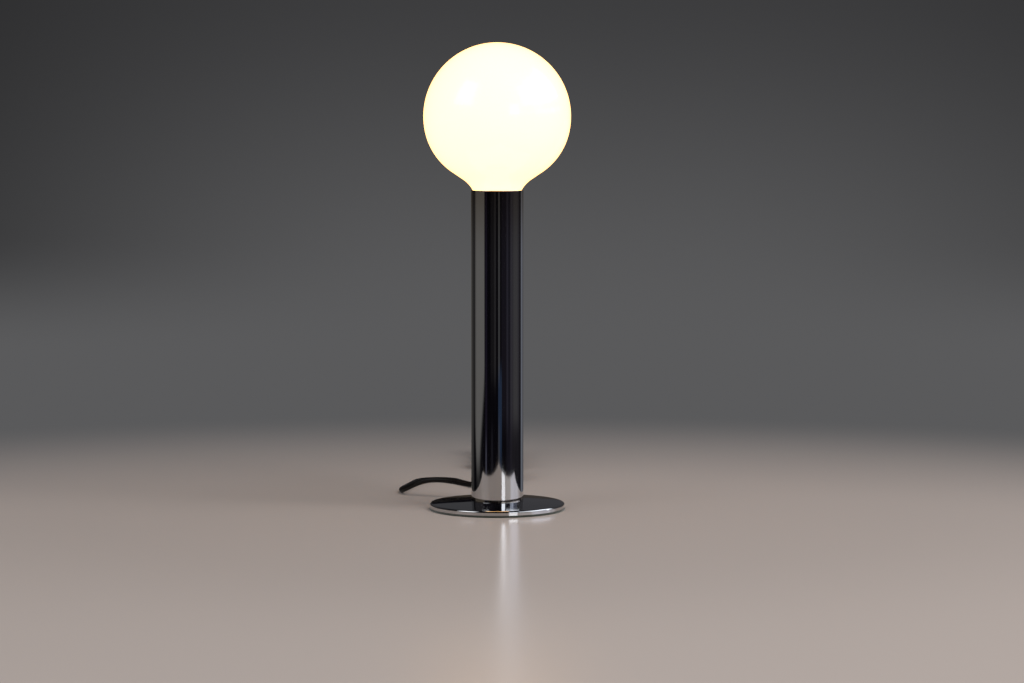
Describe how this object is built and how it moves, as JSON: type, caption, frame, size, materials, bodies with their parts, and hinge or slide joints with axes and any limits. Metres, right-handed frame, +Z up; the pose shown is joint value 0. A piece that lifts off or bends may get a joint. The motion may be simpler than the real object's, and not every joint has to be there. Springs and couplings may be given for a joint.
{
  "type": "table lamp",
  "caption": "Table lamp: upright chromed tube on a thin round base, a globe bulb in the mouth of the tube, and a cord with switch and plug.",
  "frame": {"origin": "middle of the underside of the felt pad, on the axis of the tube", "axes": "+Z up along the tube, -Y towards the viewer (front), +Y towards the rear, where the cord leaves; +X to the viewer's right"},
  "size_m": [0.1503, 0.4855, 0.3972],
  "materials": {
    "chrome": "mirror-polished chromed steel",
    "felt": "dark pressed wool felt",
    "turned_steel": "turned, bright zinc plate",
    "zinc_steel": "zinc plated",
    "brass": "plain brass",
    "bronze": "phosphor bronze strip",
    "holder_white": "moulded thermoplastic",
    "ceramic_ivory": "steatite",
    "opal_glass": "opal glass, satin gloss, lit",
    "clear_glass": "clear glass",
    "bulb_shell": "pressed and rolled",
    "black_glass": "black glass insulator",
    "solder": "tinned contact",
    "wire_steel": "drawn wire",
    "tungsten": "coiled tungsten",
    "cord_black": "smooth glossy sheath",
    "bushing_black": "soft moulded, satin",
    "wire_brown": "insulated conductor",
    "wire_blue": "insulated conductor",
    "switch_black": "fine spark-eroded moulding",
    "rocker_black": "polished moulding",
    "plug_black": "soft moulded plastic",
    "sleeve_black": "moulded sleeve",
    "pin_nickel": "nickel-plated brass",
    "tie_black": "flat plastic band"
  },
  "bodies": {
    "root": {"felt_pad": "felt", "base_disc": "chrome", "base_screws": "zinc_steel", "foot_weight": "turned_steel", "stem_tube": "chrome", "cord_bushing": "bushing_black", "inner_cord": "cord_black", "lamp_pipe": "zinc_steel", "pipe_nuts": "brass", "centring_plate": "zinc_steel", "holder_dome": "holder_white", "holder_insert": "ceramic_ivory", "holder_barrel": "holder_white", "centre_contact": "bronze", "side_contact": "bronze", "terminal_blocks": "brass", "terminal_screws": "zinc_steel", "live_wire": "wire_brown", "neutral_wire": "wire_blue", "cord_lead": "cord_black", "switch_base": "switch_black", "switch_cover": "switch_black", "switch_contacts": "brass", "switch_screws": "zinc_steel", "cord_link": "cord_black", "cord_hank": "cord_black", "hank_tie": "tie_black", "cord_tail": "cord_black", "plug_body": "plug_black", "plug_pins": "pin_nickel", "pin_sleeves": "sleeve_black"},
    "bulb_tip": {"bulb_button": "solder"},
    "bulb": {"bulb_globe": "opal_glass", "bulb_cap": "bulb_shell", "bulb_insulator": "black_glass", "bulb_mount": "clear_glass", "support_wires": "wire_steel", "filament": "tungsten"},
    "rocker": {"switch_rocker": "rocker_black", "switch_blade": "bronze"}
  },
  "joints": [
    {"name": "bulb_lift", "type": "slide", "parent": "root", "child": "bulb_tip", "axis": [0, 0, 1], "range_m": [0, 0.02]},
    {"name": "bulb_turn", "type": "hinge", "parent": "bulb_tip", "child": "bulb", "pos_m": [0, 0, 0.2347], "axis": [0, 0, 1], "range_deg": [0, 1980]},
    {"name": "switch_rock", "type": "hinge", "parent": "root", "child": "rocker", "pos_m": [0.0082, 0.215, 0.0146], "axis": [1, 0, 0], "range_deg": [0, 16]}
  ],
  "couplings": [
    {"joint": "bulb_lift", "follows": "bulb_turn", "m_per_rad": 0.00057758}
  ]
}
